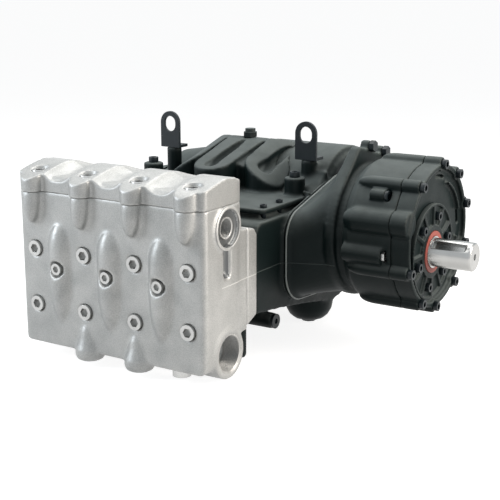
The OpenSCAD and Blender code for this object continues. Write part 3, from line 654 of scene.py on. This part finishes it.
# %% Leaves and lower noses
def stretched_ball(x, y, z, length, width, depth, slope):
    bpy.ops.object.select_all(action="DESELECT")
    bpy.ops.mesh.primitive_uv_sphere_add(
        segments=24, ring_count=16, radius=1.0, location=(x * MM, y * MM, z * MM),
        rotation=(math.radians(slope), 0, 0), scale=(width * MM, length * MM, depth * MM))
    return place_in_mesh(bpy.context.object)


lower_noses = [stretched_ball(x, -269, 38, 14, 15, 32, 0) for x in (-49, 47)]
leaves = [stretched_ball(0, 46, 295, 62, 9.5, 15, 15.5),
          stretched_ball(77, 84, 285, 50, 9.5, 15, 17),
          stretched_ball(-77, 84, 285, 50, 9.5, 15, 17)]
print("lower noses", len(lower_noses), "leaves", len(leaves))

# %% [markdown]
# ### Recess of the discharge port
# The port lies in a shallow round recess, with a narrow slot that runs down from it.

# %% Recess round the discharge port
RECESS_R = 28
RECESS_X = HEAD_END_X + 2
SLOT_WIDTH = 15
SLOT_LENGTH = 66
CUT_DEPTH = 10


def recess():
    bpy.ops.object.select_all(action="DESELECT")
    bpy.ops.mesh.primitive_cylinder_add(vertices=64, radius=RECESS_R * MM, depth=CUT_DEPTH * MM,
                                        location=(RECESS_X * MM, DISCHARGE[0] * MM, DISCHARGE[1] * MM),
                                        rotation=(0, math.pi / 2, 0))
    return place_in_mesh(bpy.context.object)


def relief():
    bpy.ops.object.select_all(action="DESELECT")
    bpy.ops.mesh.primitive_cube_add(size=1, location=(RECESS_X * MM, DISCHARGE[0] * MM, 189 * MM))
    slot = bpy.context.object
    slot.scale = (CUT_DEPTH * MM, SLOT_WIDTH * MM, SLOT_LENGTH * MM)
    place_in_mesh(slot)
    bpy.ops.object.mode_set(mode="EDIT")
    bpy.ops.mesh.select_all(action="SELECT")
    bpy.ops.mesh.bevel(offset=3 * MM, segments=3)
    bpy.ops.object.mode_set(mode="OBJECT")
    return slot


port_cuts = [recess(), relief()]
print("cuts at the port", len(port_cuts))

# %% [markdown]
# ### Webs and lips
# Short webs tie the right lifting boss to the flange, and between the ridges of the
# valve cover the front ends in a fuller lip. All are blocks with broken edges.


# %% Webs and lips
def web(low, high, edge=1.5):
    bpy.ops.object.select_all(action="DESELECT")
    bpy.ops.mesh.primitive_cube_add(size=1, location=[(a + b) / 2 * MM for a, b in zip(low, high)])
    rib = bpy.context.object
    rib.scale = [(b - a) * MM for a, b in zip(low, high)]
    place_in_mesh(rib)
    bpy.ops.object.mode_set(mode="EDIT")
    bpy.ops.mesh.select_all(action="SELECT")
    bpy.ops.mesh.bevel(offset=edge * MM, segments=3)
    bpy.ops.object.mode_set(mode="OBJECT")
    return rib


webs = [web((140, 27, 220), (172, 33, 247)), web((140, 84, 240), (172, 90, 272)),
        web((150, 30, 236), (156, 90, 252))]
lips = [web((middle - 33, -272, 268), (middle + 33, -186, 289), 6)
        for middle in (-COLUMN_PITCH, 0, COLUMN_PITCH)]
print("webs", len(webs), "lips", len(lips))

# %% [markdown]
# ## Casting everything
# Each entry gives the voxel in millimetres and the passes of smoothing. The voxel is as
# small as each part's finest edge asks, and no smaller, so that no casting grows past the
# number of triangles that a part may have.

# %% Cast the parts again
VOXELS = {
    "fluid_head": (2.35, 2),
    "valve_cover": (1.85, 2),
    "plunger_housing": (2.4, 2),
    "crankcase": (3.5, 2),
    "crankcase_lid": (2.05, 2),
    "gear_bell": (2.6, 4),
    "gearbox_housing": (1.95, 3),
    "gearbox_cover": (1.6, 2),
    "bearing_cap": (1.25, 2),
}
ADDED = {"gearbox_housing": noses, "gearbox_cover": cover_ribs, "crankcase": webs,
         "fluid_head": lower_noses, "valve_cover": lips}
CUTS = {"gearbox_cover": cover_grooves, "crankcase_lid": leaves, "fluid_head": port_cuts}
castings = {}
for node_name, (voxel, passes) in VOXELS.items():
    castings[node_name] = cast_again(node_name, voxel * MM, passes, ADDED.get(node_name, ()),
                                     CUTS.get(node_name, ()))


# %% [markdown]
# ### The machined floor
# The floor of the recess and of its slot is milled and gets a finish of its own, whose
# dark colour is a painted reflection of dark surroundings.


# %% Machined floor of the discharge recess
MILLED_X = (164 * MM, 173.7 * MM)
MILLED_SLOT_Z = (158 * MM, 210 * MM)
MILLED_TILT = 0.55


def second_finish(piece, material, inside):
    piece.data.materials.append(material)
    index = len(piece.data.materials) - 1
    count = 0
    for face in piece.data.polygons:
        if inside(face.center, face.normal):
            face.material_index = index
            count += 1
    print(piece.name, material.name, count, "faces")


def in_recess(centre, normal):
    aside = centre.y - DISCHARGE[0] * MM
    around = math.hypot(aside, centre.z - DISCHARGE[1] * MM) < RECESS_R * MM
    below = abs(aside) < SLOT_WIDTH / 2 * MM and MILLED_SLOT_Z[0] < centre.z < MILLED_SLOT_Z[1]
    sunk = MILLED_X[0] < centre.x < MILLED_X[1]
    return normal.x > MILLED_TILT and sunk and (around or below)


# The recess floor takes the milled finish with its painted dark reflection.
second_finish(castings["fluid_head"], milled_painted_reflection, in_recess)

# %% [markdown]
# ## The flange between crankcase and bell
# Two flat rims meet here, each with a crisp machined edge and a dark seam between them.
# Voxels would blur such edges, so the rims are pieces of their own. Four discs stand
# where the corners of the outline are, and the convex hull operator wraps them, which
# gives the same outline as the solid's. A bevel breaks the edges, and the outer bevels
# get a paler finish, which is a painted highlight.

# %% Flange rims
FLANGE_CORNERS = ((-11, 183, 44), (-4, 128, 51), (100, 130, 60), (116, 206, 56))
FLANGE_SEAM_X = 174
RIM_PROUD = 1.2
RIM_BEVEL = 1.8


def takes_rim_highlight(centre, normal):
    return 0.15 < abs(normal.x) < 0.98 and abs(centre.x - FLANGE_SEAM_X * MM) > 2.6 * MM


def flange_rim(name, x0, x1):
    discs = []
    for y, z, radius in FLANGE_CORNERS:
        bpy.ops.object.select_all(action="DESELECT")
        bpy.ops.mesh.primitive_cylinder_add(
            vertices=96, radius=(radius + RIM_PROUD) * MM, depth=(x1 - x0) * MM,
            location=((x0 + x1) / 2 * MM, y * MM, z * MM), rotation=(0, math.pi / 2, 0))
        discs.append(place_in_mesh(bpy.context.object))
    rim = join_all(discs[0], discs[1:])
    rim.name = name
    bpy.ops.object.mode_set(mode="EDIT")
    bpy.ops.mesh.select_all(action="SELECT")
    bpy.ops.mesh.convex_hull()
    bpy.ops.mesh.select_all(action="SELECT")
    bpy.ops.mesh.dissolve_limited(angle_limit=math.radians(0.5))
    bpy.ops.object.mode_set(mode="OBJECT")
    apply_modifier(rim, "BEVEL", width=RIM_BEVEL * MM, segments=3, limit_method="ANGLE",
                   angle_limit=math.radians(40))
    select_only(rim)
    bpy.ops.object.shade_smooth_by_angle(angle=math.radians(35))
    rim.data.materials.clear()
    rim.data.materials.append(FINISH["black_paint"])
    # The outer bevels of the rim get the painted highlight.
    second_finish(rim, rim_painted_highlight, takes_rim_highlight)
    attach(rim, "pump")
    return rim


flange_rim("case_flange_rim", 169.9, 173.4)
flange_rim("bell_flange_rim", 174.6, 178.8)

# %% [markdown]
# ## Machined ports
# The ends of the head have a raised ring round the discharge port, and pipe threads in
# both ports. A small profile is spun once round the axis of the port. The thread is drawn
# as rings a pitch apart, since its climb can't be seen at this size.

# %% Ports
PITCH = 25.4 / 11
THREAD_START = 1.2
THREAD_DEPTH = 1.5
THREAD_BACK = 0.8


def spun_profile(name, points, axis_at, slot, steps=72):
    y, z = axis_at
    bpy.ops.object.select_all(action="DESELECT")
    bpy.ops.mesh.primitive_circle_add(vertices=len(points), radius=1)
    ring = bpy.context.object
    ring.name = name
    for vertex, (x, radius) in zip(ring.data.vertices, points):
        vertex.co = (x * MM, y * MM + radius * MM, z * MM)
    bpy.ops.object.mode_set(mode="EDIT")
    bpy.ops.mesh.select_all(action="SELECT")
    bpy.ops.mesh.spin(steps=steps, angle=2 * math.pi, center=(0, y * MM, z * MM), axis=(1, 0, 0))
    bpy.ops.mesh.select_all(action="SELECT")
    bpy.ops.mesh.remove_doubles(threshold=MERGE)
    bpy.ops.mesh.normals_make_consistent(inside=False)
    bpy.ops.object.mode_set(mode="OBJECT")
    select_only(ring)
    bpy.ops.object.shade_smooth_by_angle(angle=math.radians(35))
    ring.data.materials.clear()
    ring.data.materials.append(FINISH[slot])
    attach(ring, "pump")
    return ring


def thread_profile(x_mouth, depth, radius):
    start, root, crest = x_mouth - THREAD_START, radius - 0.1, radius - THREAD_DEPTH
    inner = []
    for i in range(int(depth / PITCH)):
        x = start - i * PITCH
        inner += [(x, root), (x - PITCH * 0.45, crest), (x - PITCH * 0.6, crest)]
    return [(start, radius + THREAD_BACK), *inner, (inner[-1][0] - 0.4, radius + THREAD_BACK)]


spun_profile("discharge_thread", thread_profile(HEAD_END_X, 22, 15.4), DISCHARGE, "cast_silver")
spun_profile("suction_thread", thread_profile(HEAD_END_X + 2, 30, 28.7), SUCTION, "cast_silver")
ring_points = [(HEAD_END_X + 1, 28.3), (HEAD_END_X + 3.2, 28.3), (HEAD_END_X + 4.0, 29.2),
               (HEAD_END_X + 4.0, 31.2), (HEAD_END_X + 3.2, 32.6), (HEAD_END_X + 1, 32.9)]
spun_profile("discharge_ring", ring_points, DISCHARGE, "cast_silver")
print("points of the ring's profile", len(ring_points))

# %% [markdown]
# ## Fastenings
# Screws and plugs are turned or forged, so their edges are only broken, not rounded.
# A small bevel on the solid itself gives each edge its thin highlight.

# %% Bevel the hard parts
BEVEL = 0.5 * MM
for node_name in SLOT_OF:
    if node_name in VOXELS:
        continue
    node = frame["nodes"][node_name]
    weld = node.modifiers.new("merge", "WELD")
    weld.merge_threshold = MERGE
    bevel = node.modifiers.new("edge", "BEVEL")
    bevel.width = BEVEL
    bevel.segments = 2
    bevel.limit_method = "ANGLE"
    bevel.angle_limit = math.radians(35)
print("bevelled", len(SLOT_OF) - len(VOXELS), "nodes")
